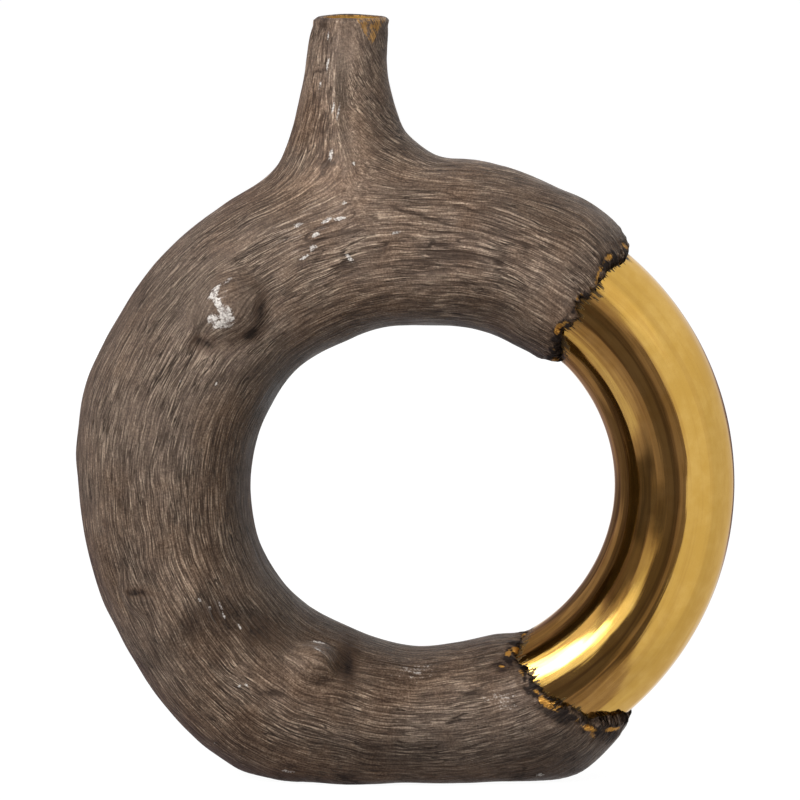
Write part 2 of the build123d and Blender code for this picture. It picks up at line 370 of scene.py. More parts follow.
upper_lip = lip(0, -1)
lower_lip = lip(-1, 1)
hidden_rows = len(upper_lip)
ring_all = np.concatenate([upper_lip[::-1], ring_points, lower_lip])
window_rows = (window_first + hidden_rows, window_last + hidden_rows)
print("rows with lips and caps:", len(ring_all))

# %% The neck's columns
CHORD_ROWS, STRAIGHT_ROWS = 42, 44
CHORD_TOP_Z = RIM_Z - 41.0
LIP_BASE_Z = RIM_Z - 1.7
ring_ids = np.arange(len(ring_all) * 2 * COLUMNS).reshape(len(ring_all), 2 * COLUMNS)
first, last = window_rows
front_side = ring_ids[first:last + 1, WINDOW_COLUMNS][::-1]
across_right = np.roll(ring_ids[first], WINDOW_COLUMNS)[:2 * WINDOW_COLUMNS + 1][::-1]
back_side = ring_ids[first:last + 1, -WINDOW_COLUMNS]
across_left = np.roll(ring_ids[last], WINDOW_COLUMNS)[:2 * WINDOW_COLUMNS + 1]
loop_ids = np.concatenate([front_side[:-1], across_right[:-1], back_side[:-1], across_left[:-1]])
loop_points = ring_all.reshape(-1, 3)[loop_ids]
columns = len(loop_ids)

loop_azimuth = np.unwrap(np.arctan2(loop_points[:, 1], loop_points[:, 0] - NECK_X))
even_azimuth = loop_azimuth[0] + np.arange(columns) / columns * 2 * math.pi
azimuth = (loop_azimuth + even_azimuth) / 2
print("window loop of", columns, "points, turning", np.degrees(np.ptp(loop_azimuth)).round(1))


def neck_ring(z):
    """Points round the neck at a height: its section's ellipse at each column's azimuth."""
    shift, width, depth = between_rows(np.array([RIM_Z - z]), NECK_SECTIONS)[:, 0]
    x = NECK_X + shift + width * np.cos(azimuth)
    return np.stack([x, depth * np.sin(azimuth), np.full(columns, z)], axis=-1)


share = np.linspace(0, 1, CHORD_ROWS + 1)[1:, None, None]
chords = loop_points * (1 - share) + neck_ring(CHORD_TOP_Z) * share
straight = np.stack([neck_ring(z) for z in np.linspace(CHORD_TOP_Z, LIP_BASE_Z, STRAIGHT_ROWS)[1:]])
outside = slide_to_surface(clay_field, np.concatenate([chords, straight]))

# %% The rim and the inside of the mouth
# Radius and height over the rim, from the outside over the lip and down into the neck.
RIM_PROFILE = np.array([
    (15.05, -1.20), (14.75, -0.75), (14.30, -0.38), (13.80, -0.14), (13.25, -0.03), (12.70, -0.12),
    (12.25, -0.38), (11.95, -0.75), (11.90, -1.02), (12.15, -1.10), (12.70, -1.12), (12.75, -3.0),
    (12.75, -12.0), (12.75, -24.0), (12.75, -36.0), (12.75, -48.0), (12.75, -60.0), (12.75, -70.0),
    (12.2, -73.5), (10.5, -76.5), (7.5, -79.0), (3.8, -80.4), (0.4, -80.8),
])
rim_radius, rim_drop = RIM_PROFILE[:, :1], RIM_PROFILE[:, 1:]
rim = np.stack([
    NECK_X + rim_radius * np.cos(azimuth),
    rim_radius * np.sin(azimuth),
    RIM_Z + rim_drop + 0 * azimuth,
], axis=-1)
neck_all = np.concatenate([outside, rim])
print("neck grid", neck_all.shape[:2])

# %% All points and faces of the skin
points = np.concatenate([ring_all.reshape(-1, 3), neck_all.reshape(-1, 3)])
neck_ids = np.arange(neck_all.shape[0] * columns).reshape(-1, columns) + ring_ids.size
neck_ids = np.concatenate([loop_ids[None], neck_ids])


def grid_faces(ids):
    """Four corners of each cell of a grid whose columns close, in the order that faces outwards
    when rows and columns follow each other like x and y."""
    beside = np.roll(ids, -1, axis=1)
    return np.stack([ids[:-1], ids[1:], beside[1:], beside[:-1]], axis=-1)


ring_cells = grid_faces(ring_ids)
column = np.arange(2 * COLUMNS)
in_window = (column < WINDOW_COLUMNS) | (column >= 2 * COLUMNS - WINDOW_COLUMNS)
row = np.arange(len(ring_cells))
keep = ~(((row >= first) & (row < last))[:, None] & in_window)
front_cells = ring_cells[:, :COLUMNS][keep[:, :COLUMNS]]
back_cells = ring_cells[:, COLUMNS:][keep[:, COLUMNS:]]
neck_cells = grid_faces(neck_ids)[..., ::-1].reshape(-1, 4)
print("faces: front", len(front_cells), "back", len(back_cells), "neck", len(neck_cells))


def vertex_normals(points, cells):
    """Mean of the faces' normals round each point, each weighed by its area: the cross product of
    a four-sided face's diagonals is twice its area times its normal."""
    diagonals = points[cells[:, 2]] - points[cells[:, 0]], points[cells[:, 3]] - points[cells[:, 1]]
    face = np.cross(*diagonals)
    total = np.zeros_like(points)
    for corner in range(4):
        for axis in range(3):
            total[:, axis] += np.bincount(cells[:, corner], face[:, axis], len(points))
    return total / np.maximum(np.linalg.norm(total, axis=1, keepdims=True), 1e-12)


all_cells = np.concatenate([front_cells, back_cells, neck_cells])
normals = vertex_normals(points, all_cells)

# %% [markdown]
# ## Which way the grain runs
#
# Combed lines follow the ring, part round the knots, and sweep up into the neck. One number per
# point does all of this: a grain coordinate that counts millimetres across the lines. On the ring
# it grows from the outer edge to the inner edge. On the neck it grows from both sides to the
# middle. The larger of the two, softly chosen, gives lines that flow from the ring into the neck.
# The right half of the neck is combed at a slant, so there the number also falls with height.
#
# A knot is a row of four numbers: its angle round the hole, its share across the limb, its size
# and its height. Round it the lines part, and close again behind it.

# %% Grain coordinate
NECK_GRAIN = 33.0
NECK_CREST = 1.5
NECK_GRAIN_RISE, NECK_RISE = (190, 225), (226, 244)
SLANT, SLANT_Z = 0.75, 236
MELT_REACH = 12.0
PARTING = 0.8
KNOTS = np.array([
    (135.9, 0.12, 13.5, 6.8), (234.7, -0.58, 11.5, 4.3), (198.0, 0.56, 8.0, 2.4),
])


def limb_place(points):
    """Angle round the hole, place across the limb from the outer to the inner edge in millimetres,
    and radius."""
    angle, radius = ring_angle(points)
    middle, width, depth = between_rows(angle, RING_SECTIONS)
    turned = np.arctan2(abs(points[..., 1]) / depth, (radius - middle) / width)
    return angle, turned / math.pi * LIMB_GIRTH, radius


def from_knot(angle, across, knot_angle, knot_share):
    """Distances along and across the grain from a knot."""
    knot_across = math.acos(knot_share) / math.pi * LIMB_GIRTH
    return np.radians(angle - knot_angle) * RING_RADIUS, across - knot_across


limb_angle, limb_across, limb_radius = limb_place(points)
front = points[:, 1] < 0
limb_grain = limb_across.copy()
for knot_angle, knot_share, size, _ in KNOTS:
    along, across = from_knot(limb_angle, limb_across, knot_angle, knot_share)
    near = np.exp(-(along ** 2 + across ** 2) / (size * 0.9) ** 2) * front
    limb_grain -= PARTING * across * near

drop = RIM_Z - points[:, 2]
shift, neck_width, _ = between_rows(drop, NECK_SECTIONS)
neck_offset = points[:, 0] - NECK_X - shift
sideways = np.sqrt(neck_offset ** 2 + NECK_CREST ** 2) / neck_width
neck_grain = np.arccos(np.clip(sideways, 0, 1)) / (math.pi / 2) * NECK_GRAIN
neck_grain *= soft_step(points[:, 2], *NECK_GRAIN_RISE)
grain = -soft_least(-limb_grain, -neck_grain, MELT_REACH)
neck_part = soft_step(neck_grain - limb_grain, -6, 10)
on_neck = soft_step(points[:, 2], *NECK_RISE)
slanted = on_neck * soft_step(neck_offset, -5.0, 1.0)
grain -= SLANT * slanted * (points[:, 2] - SLANT_Z)
grain += 1.0 * value_noise(points / 13.0, 71) + 0.4 * value_noise(points / 5.5, 72)

flow = points / [15.0, 3.4, 15.0]
flow[:, 0] += np.tanh(neck_offset / 5.0) * 3.0 * soft_step(points[:, 2], 225, 250)
flow[:, 2] += np.maximum(points[:, 2] - 232, 0) / 30.0
print("grain coordinate from", grain.min().round(1), "to", grain.max().round(1), "mm")

# %% [markdown]
# ## Sculpting the skin
#
# The skin is raised and lowered along its normals. Large soft lumps come first, then the knots and
# hollows that can be pointed out in the picture, then grooves in two sizes that follow the grain,
# and last thin creases, which are deepest in a few wrinkled zones. Each layer is noise with its own
# size and strength. A crease lies where a noise crosses zero, so it is thin and wanders.
#
# Two kinds of row say where a thing is. A hollow or lump has its angle round the hole, its share
# across the limb, its length along the grain, its width and its height. A patch has x and z on the
# front, a length, a width, a tilt in degrees and a strength.

# %% Places on the skin
WRINKLED_PLACES = [
    (-76, 70, 12, 8, 0, 1), (-32, 222, 15, 10, 20, 1), (-51, 39.4, 9, 4, -5, 1),
    (-34, 55, 6, 6, 0, 1), (-104, 85, 8, 5, 0, 1),
]
HOLLOWS = np.array([
    (244.2, -0.71, 7.5, 6.5, -2.6), (197.2, 0.47, 6.5, 2.0, -1.7), (184.4, 0.70, 9.0, 0.9, -0.9),
    (215.7, -0.55, 12.0, 7.0, -0.9), (116.1, 0.47, 3.0, 2.0, 0.7), (113.3, 0.21, 7.0, 4.0, 0.6),
    (99.1, 0.14, 6.0, 4.0, 0.6), (108.3, -0.02, 4.0, 3.0, -0.8), (104.5, -0.06, 4.0, 2.2, 0.7),
    (69.0, 0.28, 6.0, 4.0, 0.6), (290.0, 0.45, 9.0, 4.0, -0.6), (262.0, 0.2, 12.0, 5.0, 0.5),
])


def patch(x, z, length, width, tilt):
    """1 at a place on the front, in millimetres, falling off as exp(-a^2 - b^2), where a and b are
    the distances along and beside the tilt over the length and the width."""
    across, up = points[:, 0] - x, points[:, 2] - z
    slope = math.radians(tilt)
    along = across * math.cos(slope) + up * math.sin(slope)
    beside = up * math.cos(slope) - across * math.sin(slope)
    return np.exp(-(along / length) ** 2 - (beside / width) ** 2) * front


def strongest(places):
    """The highest value at each point of patches that are drawn at several places."""
    return np.max([strength * patch(*place) for *place, strength in places], axis=0)


def grain_noise(stretch, spacing, seed):
    """Noise drawn out along the grain: low waves in space, high waves across the lines."""
    where = np.concatenate([flow * stretch, grain[:, None] / spacing], axis=1)
    return value_noise(where, seed)


# %% Relief
CREASE_WIDTH, SMALL_CREASE_WIDTH = 0.075, 0.13
CREASE_DEPTH, SMALL_CREASE_DEPTH = 0.55, 0.42
lumps = 0.75 * value_noise(points / 31.0, 21) + 0.38 * value_noise(points / 12.0, 22)
features = np.zeros(len(points))
for knot_angle, knot_share, size, height in KNOTS:
    along, across = from_knot(limb_angle, limb_across, knot_angle, knot_share)
    spread = np.hypot(along, across) / size
    features += height * np.exp(-(spread * 1.25) ** 2.6) * front
    features -= 0.8 * np.exp(-((spread - 1.22) / 0.24) ** 2) * front
for knot_angle, knot_share, length, width, height in HOLLOWS:
    along, across = from_knot(limb_angle, limb_across, knot_angle, knot_share)
    features += height * np.exp(-(along / length) ** 2 - (across / width) ** 2) * front

coarse = grain_noise(1.2, 1.7, 31)
medium = grain_noise(2.0, 0.95, 32)
folds = grain_noise(0.55, 5.2, 33)
calm = soft_step(value_noise(points / 24.0, 34), -0.25, 0.5)
right_grooves = np.exp(-((limb_angle - 88) / 17) ** 2 - ((limb_across - 56) / 22) ** 2) * front
neck_folds = neck_part * np.exp(-((neck_offset + 11.5) / 5.0) ** 2) * front
wrinkled = strongest(WRINKLED_PLACES)
cut_zone = np.clip(0.30 * calm + 0.5 * right_grooves + 0.8 * neck_folds + 0.8 * wrinkled, 0, 1.3)
creases = np.exp(-(folds / CREASE_WIDTH) ** 2)
small_creases = np.exp(-(grain_noise(1.1, 1.9, 35) / SMALL_CREASE_WIDTH) ** 2)
small_cuts = np.clip(right_grooves + 0.9 * neck_folds + 0.7 * wrinkled, 0, 1.2)
grooves = 0.15 * coarse + 0.13 * medium
depth_of_cut = 0.42 + 2.4 * right_grooves + 1.7 * neck_folds + 1.8 * wrinkled
cut = np.clip(creases * cut_zone + 0.8 * small_creases * small_cuts, 0, 1)
relief = grooves * depth_of_cut - CREASE_DEPTH * creases * cut_zone
relief = relief - SMALL_CREASE_DEPTH * small_creases * small_cuts
relief = relief * soft_step(drop, 1.0, 7.0)
lip_roll = 0.35 * np.exp(-((drop - 1.9) / 1.1) ** 2) - 0.14 * np.exp(-((drop - 4.2) / 0.9) ** 2)
features += lip_roll * on_neck

# %% Seams: a swollen, torn border
SWELL_REACH = 7.0
edge_share = np.cos(limb_across / LIMB_GIRTH * math.pi)
upper_away = np.radians(limb_angle - between_rows(edge_share, UPPER_SEAM)[0]) * limb_radius
lower_away = np.radians(between_rows(edge_share, LOWER_SEAM)[0] - limb_angle) * limb_radius
seam_away = np.where(limb_angle < 180, upper_away, lower_away)
near_seam = np.exp(-(np.maximum(seam_away, 0) / SWELL_REACH) ** 2)
torn = value_noise(points / 3.2, 41) + 0.7 * value_noise(points / 1.4, 42)
seam_relief = near_seam * (0.55 * torn - 0.55)

shown = np.ones(len(points))
ring_rows_shown = np.ones(len(ring_all))
ring_rows_shown[:CAP_ROWS] = ring_rows_shown[-CAP_ROWS:] = 0
shown[:ring_ids.size] = np.repeat(ring_rows_shown, 2 * COLUMNS)
rim_shown = np.interp(np.arange(len(rim)), [0, 9, 10], [1, 0.15, 0])
shown[ring_ids.size:] = np.repeat(np.concatenate([np.ones(len(outside)), rim_shown]), columns)
height = (lumps + features + relief + seam_relief) * shown
skin = points + normals * height[:, None]
skin[:, 2] = np.maximum(skin[:, 2], 0.0)
skin_normals = vertex_normals(skin, all_cells)
print("relief from", height.min().round(2), "to", height.max().round(2), "mm")

# %% [markdown]
# ## Painted zones
#
# Some finishes belong to places: burnt black in the seams, gold that strayed onto the clay, pale
# chips near the table, painted highlights on the knots and ridges, and painted shade in the hollows
# and round the knots. They are kept on the mesh as named attributes from 0 to 1, and the material
# breaks them up with finer noise. Burns follow the seams, and painted shade darkens the clay
# towards the edge that stands on the table.

# %% Burnt clay and painted shade
SEAM_BURN_REACH = 3.8
TABLE_EDGE_SHADE, TABLE_SHADE_FROM, TABLE_SHADE_TO = 0.66, 3, 17
# Rows round the upper knot, beside the lower and side knots and in the lower left are painted
# shade; the rows near the seams are burns.
BURNT_AND_SHADED_PLACES = [
    (-23.5, 50.5, 12, 6, 88, 0.62), (-107, 80, 6.5, 2.4, -6, 0.72),
    (-58.6, 194, 11, 3.4, 82, 0.66), (-62.5, 185, 6, 4, 30, 0.72), (-80, 181, 7, 3.6, -14, 0.66),
    (-62, 206, 5, 2.4, -40, 0.40), (66, 184, 12, 6, -45, 0.66), (39, 48, 5, 4, 0, 0.74),
    (60, 30, 12, 4, -30, 0.74), (-76.5, 71, 10, 6, 0, 0.44), (-59, 63, 12, 7, -15, 0.54),
    (84, 20, 12, 8, -20, 0.72),
]
at_seam = np.exp(-(np.maximum(seam_away, 0) / SEAM_BURN_REACH) ** 2)
burn = np.clip(at_seam * (0.70 + 0.75 * torn), 0, 1)
burn = np.maximum(burn, strongest(BURNT_AND_SHADED_PLACES))
# Painted shade: the clay darkens towards the edge that stands on the table, where it curves under.
table_edge_shade = 1 - soft_step(points[:, 2], TABLE_SHADE_FROM, TABLE_SHADE_TO)
table_edge_shade = table_edge_shade * (0.75 + 0.25 * lumps)
burn = np.maximum(burn, TABLE_EDGE_SHADE * table_edge_shade)
print("burnt share", (burn > 0.5).mean().round(3))

# %% Gold on the clay: along the seams, in stray brush marks, on the rim and on its worn corner
SEAM_GILT_MIDDLE, SEAM_GILT_REACH = 0.6, 2.4
WORN_X, WORN_HALF_WIDTH, WORN_LENGTH, WORN_GILT = -13.8, 6.8, 12.0, 0.64
STRAY_GOLD = [
    (44.8, 54.1, 4.2, 1.9, -38, 0.86), (39.1, 48.4, 3, 1.1, -8, 0.80),
    (53.5, 38.4, 5, 1.7, -36, 0.80), (60, 34.2, 5, 1.9, -28, 0.84),
    (75.5, 20.6, 4, 2.4, -30, 0.66), (70, 28, 3, 1, -30, 0.70), (72, 188, 6, 1.7, 50, 0.80),
    (79.5, 201, 6, 2, 54, 0.82), (66.5, 178.5, 5, 1.5, 30, 0.78),
]
gilt = np.exp(-((seam_away - SEAM_GILT_MIDDLE) / SEAM_GILT_REACH) ** 2)
gilt = gilt * np.clip(0.56 + 0.6 * value_noise(points / 5.0, 51), 0, 1)
gilt = np.maximum(gilt, strongest(STRAY_GOLD))
worn_corner = WORN_HALF_WIDTH * (1 - drop / WORN_LENGTH) - abs(points[:, 0] - WORN_X)
gilt = np.maximum(gilt, WORN_GILT * soft_step(worn_corner, -1.2, 0.8) * front)
mouth_edge = soft_step(np.hypot(points[:, 0] - NECK_X, points[:, 1]), 12.4, 12.0)
gilt = np.maximum(gilt, 0.9 * mouth_edge * soft_step(points[:, 2], RIM_Z - 1.2, RIM_Z - 0.7))
print("gilt share", (gilt > 0.5).mean().round(4))

# %% Pale chips and painted highlights
# Most rows are painted highlights: the white S on the upper knot, glints on ridges and wrinkles and
# two broad patches of painted sheen near the bottom. Rows near the table are pale chips.
CHIPS_AND_HIGHLIGHTS = [
    (-70.8, 205.2, 2.9, 1, 50, 0.9), (-73.6, 203.6, 2.2, 0.9, 35, 0.8),
    (-75.8, 200.6, 3.4, 1.9, 65, 1), (-74.4, 196.6, 3.4, 1.7, -62, 1),
    (-71.4, 192.2, 3.9, 2.9, -50, 1), (-77.2, 190.6, 2.7, 2.3, 30, 1),
    (-74.4, 188.8, 4.2, 1.8, 12, 1), (-73.2, 194, 2.6, 1.6, -60, 1),
    (-43.2, 228, 1.9, 1.4, 20, 1), (-24.6, 236.8, 1.2, 1, 60, 0.8),
    (-31.8, 229.8, 3, 0.8, 32, 0.9), (-26.5, 230.6, 3, 0.8, 10, 0.9),
    (-36.2, 224.4, 2.6, 1, 32, 0.9), (-37.4, 219.2, 2, 1.3, 20, 1),
    (-40.7, 215.6, 3, 0.8, 32, 0.8), (-22.9, 215.4, 2.2, 1, -45, 0.9),
    (-4.2, 225.4, 2, 0.9, 10, 0.9), (-82.4, 165.3, 0.9, 0.8, 0, 0.8),
    (-76.2, 164.8, 1.2, 0.7, 60, 0.8), (-90.6, 166, 0.8, 0.8, 0, 0.7),
    (-30.2, 255.8, 2.8, 0.9, 76, 1), (-21.2, 252.2, 1, 1, 0, 0.9),
    (-27.2, 272.6, 4, 0.6, 80, 0.8), (-31.6, 303, 3, 0.6, 84, 0.8),
    (-31.6, 291.5, 3.4, 0.7, 82, 0.8), (-34.4, 283, 3.4, 0.6, 76, 0.7),
    (-29.4, 274, 2.4, 0.6, 76, 0.8), (-83.2, 77.2, 1.4, 0.8, -55, 0.9),
    (-78.6, 73.6, 2, 0.8, -60, 0.9), (-74.8, 74.6, 2.6, 0.6, -62, 0.8),
    (-73.4, 70.6, 2.2, 0.6, -62, 0.8), (-67, 66, 2, 0.6, -60, 0.7), (-35, 58.6, 3, 0.8, -15, 0.9),
    (-36.6, 54.8, 2.4, 0.8, -30, 0.8), (-66, 42.4, 4, 0.6, 8, 0.7),
    (-47.5, 6.2, 3.5, 0.9, -5, 0.6), (-77, 16, 1.6, 0.8, -40, 0.6), (54, 4, 3, 1.2, 10, 0.6),
    (5, 46, 12, 5, 0, 0.42), (40, 36, 13, 6, -10, 0.40),
]
glint = strongest(CHIPS_AND_HIGHLIGHTS)
print("pale spots", len(CHIPS_AND_HIGHLIGHTS), "share", (glint > 0.5).mean().round(4))

# %% [markdown]
# Tone multiplies the colour. It is partly uneven paint and partly painted light and shade: it is
# lower on the side that faces the hole, which is painted shade, and each row of the table adds to
# it or takes from it, with painted shade round the knots and in the lower left and painted light on
# the neck and the top. Smooth places have little combing left, and glossy places catch small
# lights.

# %% Tone with painted light and shade, smooth places and gloss
BASE_TONE, PAINTED_INNER_SHADE = 1.08, 0.53
# Painted shade on the side that faces the hole.
inner_shade_mask = soft_step(limb_across, 72, 108) * (1 - on_neck)
# Rows that darken round the knots and the lower left are painted shade, rows that brighten the neck
# and the top are painted light; the others are uneven paint.
TONES_AND_PAINTED_LIGHT = [
    (-59, 64, 13, 8, -18, -0.56), (-91, 62, 19, 5.5, 42, -0.46), (-72, 72, 11, 7, 0, -0.50),
    (-23.8, 50, 11, 5.5, 88, -0.46), (59, 12, 22, 15, 0, -0.45), (-112, 90, 26, 10, -75, -0.10),
    (-10, 14, 52, 12, 0, -0.34), (-118, 200, 24, 14, 55, -0.10), (-112, 150, 55, 24, 90, -0.13),
    (-76, 196, 15, 15, 0, -0.16), (-97, 200, 14, 9, 60, -0.20), (-82, 173, 9, 7, 0, 0.18),
    (40, 200, 15, 9, -10, -0.46), (-25, 268, 44, 13, 90, 0.56), (-4, 208, 34, 20, 6, 0.30),
    (44, 210, 30, 18, -24, 0.54), (-44, 14, 9, 5, -30, 0.34), (-45, 208, 20, 12, 35, 0.05),
    (-24, 300, 9, 5.5, 90, 0.22), (46, 33, 11, 7, -20, 0.14), (-36, 54, 9, 9, 0, 0.10),
    (-92, 18, 9, 5, -40, -0.22), (-36, 243, 12, 10, 0, 0.24), (1, 242, 15, 10, 0, 0.74),
    (-14, 216, 16, 8, 0, 0.62), (-50, 39, 14, 9, -20, 0.34), (18, 48, 25, 12, 0, 0.24),
    (3, 13, 26, 9, 0, -0.24), (-54, 157, 18, 6, 80, -0.28), (17, 216, 13, 7, 0, 0.20),
    (30, 246, 14, 8, 0, 0.30), (-43, 187, 9, 8, 0, 0.20), (-91, 84, 9, 7, 0, 0.30),
    (-73, 24, 12, 7, -30, 0.16),
]
tone = BASE_TONE - PAINTED_INNER_SHADE * inner_shade_mask
for *place, change in TONES_AND_PAINTED_LIGHT:
    tone = tone + change * patch(*place)
tone = np.clip(tone, 0.3, 1.5)

SMOOTH_PLACES = [
    (-24, 297, 10, 6, 90, 1), (-20, 262, 14, 6, 90, 0.7), (-27, 240, 12, 9, 60, 0.6),
    (-74, 196, 11, 9, 0, 0.9), (-41, 55, 11, 8, 0, 0.8), (-22, 228, 22, 9, 0, 0.5),
]
smooth = strongest(SMOOTH_PLACES)

GLOSSY_PLACES = [
    (-74, 196, 9, 8, 0, 0.8), (-32, 224, 17, 9, 10, 0.8), (-3, 226, 12, 5, 0, 0.7),
    (-76, 72, 13, 9, -20, 0.9), (-35, 56, 7, 6, 0, 0.8), (-29.5, 290, 22, 4, 84, 0.7),
    (30, 218, 24, 14, -10, 0.4), (-104, 86, 8, 4, 0, 0.4), (42, 36, 14, 6, -10, 0.6),
]
gloss = strongest(GLOSSY_PLACES)
print("tone from", tone.min().round(2), "to", tone.max().round(2))

# %% Meshes from arrays
def make_piece(name, points, cells, rims=(), attributes=None, normals=None):
    """A mesh object with four-sided cells, closed by one flat face over each given rim of points.
    Only the points that the faces use are kept."""
    sizes = np.array([4] * len(cells) + [len(rim) for rim in rims])
    used, corners = np.unique(np.concatenate([cells.ravel(), *rims]), return_inverse=True)
    mesh = bpy.data.meshes.new(name)
    mesh.vertices.add(len(used))
    mesh.vertices.foreach_set("co", (points[used] * MM).astype(np.float32).ravel())
    mesh.loops.add(len(corners))
    mesh.loops.foreach_set("vertex_index", corners.ravel().astype(np.int32))
    mesh.polygons.add(len(sizes))
    mesh.polygons.foreach_set("loop_start", (np.cumsum(sizes) - sizes).astype(np.int32))
    mesh.update(calc_edges=True)
    mesh.shade_smooth()
    for key, values in (attributes or {}).items():
        number = values.ndim == 1
        slot = mesh.attributes.new(key, "FLOAT" if number else "FLOAT_VECTOR", "POINT")
        kept = values[used].astype(np.float32).ravel()
        slot.data.foreach_set("value" if number else "vector", kept)
    if normals is not None:
        mesh.normals_split_custom_set_from_vertices(normals[used])
    piece = bpy.data.objects.new(name, mesh)
    bpy.context.scene.collection.objects.link(piece)
    print(name, "points", len(used), "triangles", int((sizes - 2).sum()))
    return piece


# %% The three pieces of the skin
RELIEF_UNIT = 0.33
skin_attributes = {
    "flow": flow, "grain": grain, "relief": relief / RELIEF_UNIT, "burn": burn, "gilt": gilt,
    "glint": glint, "tone": tone, "smooth": smooth, "gloss": gloss, "cut": cut,
}
cells_of = {"wood_front": front_cells, "wood_back": back_cells, "wood_neck": neck_cells}
half = np.arange(COLUMNS + 1)
front_rims = [ring_ids[0][half][::-1], ring_ids[-1][half]]
back_rims = [ring_ids[0][-half], ring_ids[-1][-half][::-1]]
rims_of = {"wood_front": front_rims, "wood_back": back_rims, "wood_neck": [neck_ids[-1]]}
stands_for = {
    "wood_front": ["front_shell", "upper_stub", "lower_stub", "side_stub"],
    "wood_back": ["back_shell"],
    "wood_neck": ["neck"],
}
skins = []
for name, cells in cells_of.items():
    piece = make_piece(name, skin, cells, rims_of[name], skin_attributes, skin_normals)
    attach(piece, "root")
    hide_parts(*stands_for[name])
    skins.append(piece)

# %% [markdown]
# ## The gold arc
#
# The gold is a glaze over smooth clay, so its form is plain, and everything it shows is mirrored
# surroundings. Its small waves matter more than its outline: long, shallow ripples that run with
# the tube pull the reflections into streaks. They are far too shallow to measure on the outline.
# Three attributes go with it: the stain beside the seams, a place that is measured along and round
# the tube, and how far a point lies on the side that faces the hole, where the brown streaks of
# painted reflection go.

# %% Gold arc surface
ARC_FROM, ARC_TO, ARC_ROWS, ARC_COLUMNS = -70.0, 62.5, 250, 200
END_ANGLE = 3.0
STAIN, STAIN_REACH = 0.82, 6.0
ALONG_RADIUS, ROUND_RADIUS = 95, 30
arc_angle = np.linspace(ARC_FROM, ARC_TO, ARC_ROWS)[:, None]
arc_turn = np.radians(np.arange(ARC_COLUMNS) / ARC_COLUMNS * 360)
from_end = np.minimum(arc_angle - ARC_FROM, ARC_TO - arc_angle) / END_ANGLE
closing = np.sqrt(np.clip(1 - np.clip(1 - from_end, 0, 1) ** 2, 0.0004, 1))
arc_middle, arc_width = gold_section(arc_angle)
ripple_place = np.stack(np.broadcast_arrays(
    arc_angle / 26.0, 3.4 * np.cos(arc_turn), 3.4 * np.sin(arc_turn)), axis=-1)
ripple = 0.16 * value_noise(ripple_place, 61) + 0.08 * value_noise(ripple_place * 2.6, 62)
ripple = ripple + 0.014 * value_noise(ripple_place * [9.0, 2.6, 2.6], 63)
arc_out = (arc_width + ripple) * closing * np.cos(arc_turn)
arc_front = (GOLD_HALF_DEPTH + ripple) * closing * np.sin(arc_turn)
arc_radius = arc_middle + arc_out
arc_points = np.stack([
    GOLD_X + arc_radius * np.cos(np.radians(arc_angle)),
    -arc_front,
    GOLD_Z + arc_radius * np.sin(np.radians(arc_angle)),
], axis=-1)
arc_ids = np.arange(ARC_ROWS * ARC_COLUMNS).reshape(ARC_ROWS, ARC_COLUMNS)
flat_points = arc_points.reshape(-1, 3)
arc_ring_angle, arc_across, arc_ring_radius = limb_place(flat_points)
arc_share = np.cos(arc_across / LIMB_GIRTH * math.pi)
signed_angle = (arc_ring_angle + 180) % 360 - 180
to_upper = between_rows(arc_share, UPPER_SEAM)[0] - signed_angle
to_lower = signed_angle - between_rows(arc_share, LOWER_SEAM)[0] + 360
to_seam = np.radians(np.minimum(to_upper, to_lower)) * arc_ring_radius
stain = STAIN * np.exp(-(np.maximum(to_seam, 0) / STAIN_REACH) ** 2)
tube = np.stack(np.broadcast_arrays(
    np.radians(arc_angle) * ALONG_RADIUS,
    ROUND_RADIUS * np.cos(arc_turn),
    ROUND_RADIUS * np.sin(arc_turn),
), axis=-1).reshape(-1, 3)
inner_half = 0.5 - 0.5 * np.cos(np.broadcast_to(arc_turn, arc_points.shape[:2]).ravel())
gold_arc = make_piece(
    "gold_arc_glaze", flat_points, grid_faces(arc_ids).reshape(-1, 4),
    [arc_ids[0][::-1], arc_ids[-1]], {"stain": stain, "tube": tube, "inner_half": inner_half},
)
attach(gold_arc, "root")
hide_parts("gold_arc")

# %% [markdown]
# ## Writing materials as sums
#
# A material is a net of nodes, but its sums read best as sums. The class below wraps a number
# socket, so that a plus or a times adds a Math node. Every other node comes from one method, which
# takes the node's type, its settings and what its sockets hold. The world has a net of nodes too,
# so the same tool can be given the world.

# %% Small tools for materials
class Number:
    """A value that flows through a material. Sums on it add Math nodes to the same material."""

    def __init__(self, finish, socket):
        self.finish = finish
        self.socket = socket

    def sum_with(self, operation, first, second):
        """A Math node with two inputs."""
        return self.finish.node("ShaderNodeMath", {"operation": operation}, {0: first, 1: second})

    def __add__(self, other):
        return self.sum_with("ADD", self, other)

    __radd__ = __add__

    def __sub__(self, other):
        return self.sum_with("SUBTRACT", self, other)

    def __rsub__(self, other):
        return self.sum_with("SUBTRACT", other, self)

    def __mul__(self, other):
        return self.sum_with("MULTIPLY", self, other)

    __rmul__ = __mul__

    def __abs__(self):
        return self.finish.node("ShaderNodeMath", {"operation": "ABSOLUTE"}, {0: self})


